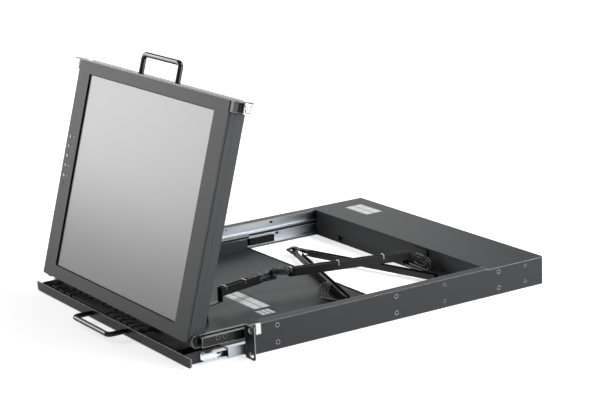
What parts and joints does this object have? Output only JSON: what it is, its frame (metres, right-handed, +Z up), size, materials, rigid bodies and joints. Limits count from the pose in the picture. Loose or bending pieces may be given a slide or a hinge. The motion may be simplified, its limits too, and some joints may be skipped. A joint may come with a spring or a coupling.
{
  "type": "rackmount lcd console drawer",
  "caption": "1U rack drawer whose LCD screen slides out and tilts up while a keyboard tray slides out below it, with folding cable arms behind.",
  "frame": {"origin": "centre of the four rack ear slots, on the front plane of the ears", "axes": "+X to the right as seen from the front, +Y to the rear of the rack, +Z up"},
  "size_m": [0.4826, 0.597, 0.3538],
  "materials": {
    "black_coat": "fine satin powder coat",
    "head_coat": "fine satin powder coat",
    "zinc": "bright zinc plate",
    "handle_enamel": "gloss black enamel",
    "latch_chrome": "bright chrome",
    "screw_steel": "plain steel",
    "screen_glass": "matt anti-glare screen film, unlit",
    "tin_plate": "tin plated steel",
    "circuit_board": "solder mask",
    "nylon": "white nylon",
    "black_plastic": "fine moulded texture",
    "button_plastic": "light grey",
    "arm_coat": "satin black",
    "cable_sleeve": "black cable jacket"
  },
  "bodies": {
    "chassis": {"side_panel_left": "black_coat", "side_panel_right": "black_coat", "rear_compartment": "black_coat", "rear_cover": "black_coat", "rear_connectors": "black_plastic", "controller_board": "circuit_board", "power_supply": "tin_plate", "floor_braces": "black_coat", "latch_strikes": "nylon", "lcd_slides_outer": "zinc", "tray_slides_outer": "zinc", "slide_guards": "black_coat", "chassis_screws": "screw_steel", "arm_root_brackets": "black_coat", "rear_cable_looms": "cable_sleeve"},
    "lcd_carriage": {"lcd_slides_inner": "black_coat", "hinge_brackets": "black_coat", "hinge_pins": "screw_steel", "carriage_crossbar": "black_coat", "carriage_screws": "screw_steel", "lcd_cable": "cable_sleeve"},
    "lcd_head": {"lcd_bezel": "head_coat", "lcd_rear_cover": "head_coat", "lcd_glass": "screen_glass", "lcd_module": "tin_plate", "lcd_boards": "circuit_board", "lcd_hinge_plates": "zinc", "lcd_rear_screws": "screw_steel", "top_strip": "head_coat", "lcd_handle": "handle_enamel", "latch_bodies": "latch_chrome"},
    "latch_left": {"latch_bolt_left": "latch_chrome"},
    "latch_right": {"latch_bolt_right": "latch_chrome"},
    "tray": {"tray_pan": "black_coat", "tray_lip": "black_coat", "tray_handle": "handle_enamel", "tray_slides_inner": "zinc", "keyboard_frame": "black_plastic", "keyboard_board": "circuit_board", "touchpad": "black_plastic", "tray_cable": "cable_sleeve"},
    "tray_slides": {"tray_slides_middle": "zinc", "tray_slide_stops": "black_plastic"},
    "key_caps": {"keys": "black_plastic"},
    "space": {"space_bar": "black_plastic"},
    "pad_left": {"touchpad_button_left": "black_plastic"},
    "pad_right": {"touchpad_button_right": "black_plastic"},
    "upper_arm_rear": {"upper_arm_rear_link": "arm_coat", "upper_arm_rear_cable": "cable_sleeve"},
    "upper_arm_front": {"upper_arm_front_link": "arm_coat", "upper_arm_front_cable": "cable_sleeve"},
    "lower_arm_rear": {"lower_arm_rear_link": "arm_coat", "lower_arm_rear_cable": "cable_sleeve"},
    "lower_arm_front": {"lower_arm_front_link": "arm_coat", "lower_arm_front_cable": "cable_sleeve"},
    "button_1": {"bezel_button_1": "button_plastic"},
    "button_2": {"bezel_button_2": "button_plastic"},
    "button_3": {"bezel_button_3": "button_plastic"},
    "button_4": {"bezel_button_4": "button_plastic"},
    "button_5": {"bezel_button_5": "button_plastic"}
  },
  "joints": [
    {"name": "lcd_slide", "type": "slide", "parent": "chassis", "child": "lcd_carriage", "axis": [0, 1, 0], "range_m": [0, 0.3607]},
    {"name": "lcd_tilt", "type": "hinge", "parent": "lcd_carriage", "child": "lcd_head", "pos_m": [0, -0.0611, 0.0108], "axis": [1, 0, 0], "range_deg": [-10, 105.6], "deforming": ["lcd_cable"]},
    {"name": "latch_left_press", "type": "slide", "parent": "lcd_head", "child": "latch_left", "axis": [-1, 0, 0], "range_m": [-0.003, 0], "stiffness_N_per_m": 400},
    {"name": "latch_right_press", "type": "slide", "parent": "lcd_head", "child": "latch_right", "axis": [1, 0, 0], "range_m": [-0.003, 0], "stiffness_N_per_m": 400},
    {"name": "tray_slide", "type": "slide", "parent": "chassis", "child": "tray", "axis": [0, 1, 0], "range_m": [-0.22, 0.078]},
    {"name": "tray_slide_middle", "type": "slide", "parent": "chassis", "child": "tray_slides", "axis": [0, 1, 0], "range_m": [-0.1105, 0.0395]},
    {"name": "keys_press", "type": "slide", "parent": "tray", "child": "key_caps", "axis": [0, 0, -1], "range_m": [0, 0.002], "stiffness_N_per_m": 3000},
    {"name": "space_bar_press", "type": "slide", "parent": "tray", "child": "space", "axis": [0, 0, -1], "range_m": [0, 0.002], "stiffness_N_per_m": 300},
    {"name": "pad_left_press", "type": "slide", "parent": "tray", "child": "pad_left", "axis": [0, 0, -1], "range_m": [0, 0.0008], "stiffness_N_per_m": 500},
    {"name": "pad_right_press", "type": "slide", "parent": "tray", "child": "pad_right", "axis": [0, 0, -1], "range_m": [0, 0.0008], "stiffness_N_per_m": 500},
    {"name": "upper_arm_root", "type": "hinge", "parent": "chassis", "child": "upper_arm_rear", "pos_m": [0.066, 0.38, 0.0076], "axis": [0, 0, 1], "range_deg": [-70, 0.5]},
    {"name": "upper_arm_elbow", "type": "hinge", "parent": "upper_arm_rear", "child": "upper_arm_front", "pos_m": [0.01533, 0.169, 0.0076], "axis": [0, 0, 1], "range_deg": [-0.5, 140], "deforming": ["upper_arm_rear_cable"]},
    {"name": "lower_arm_root", "type": "hinge", "parent": "chassis", "child": "lower_arm_rear", "pos_m": [0.13, 0.376, -0.0124], "axis": [0, 0, 1], "range_deg": [-11, 29]},
    {"name": "lower_arm_elbow", "type": "hinge", "parent": "lower_arm_rear", "child": "lower_arm_front", "pos_m": [-0.12834, 0.2975, -0.0124], "axis": [0, 0, 1], "range_deg": [-57, 22], "deforming": ["lower_arm_rear_cable"]},
    {"name": "button_1_press", "type": "slide", "parent": "lcd_head", "child": "button_1", "axis": [0, 0.9632, -0.2689], "range_m": [0, 0.0008], "stiffness_N_per_m": 400},
    {"name": "button_2_press", "type": "slide", "parent": "lcd_head", "child": "button_2", "axis": [0, 0.9632, -0.2689], "range_m": [0, 0.0008], "stiffness_N_per_m": 400},
    {"name": "button_3_press", "type": "slide", "parent": "lcd_head", "child": "button_3", "axis": [0, 0.9632, -0.2689], "range_m": [0, 0.0008], "stiffness_N_per_m": 400},
    {"name": "button_4_press", "type": "slide", "parent": "lcd_head", "child": "button_4", "axis": [0, 0.9632, -0.2689], "range_m": [0, 0.0008], "stiffness_N_per_m": 400},
    {"name": "button_5_press", "type": "slide", "parent": "lcd_head", "child": "button_5", "axis": [0, 0.9632, -0.2689], "range_m": [0, 0.0008], "stiffness_N_per_m": 400}
  ],
  "couplings": [
    {"joint": "tray_slide_middle", "follows": "tray_slide", "ratio": 0.5},
    {"joint": "upper_arm_root", "follows": "lcd_slide", "rad_per_m": -3.3085},
    {"joint": "upper_arm_elbow", "follows": "lcd_slide", "rad_per_m": 6.617},
    {"joint": "lower_arm_root", "follows": "tray_slide", "rad_per_m": -2.1718},
    {"joint": "lower_arm_elbow", "follows": "tray_slide", "rad_per_m": 4.3437}
  ]
}
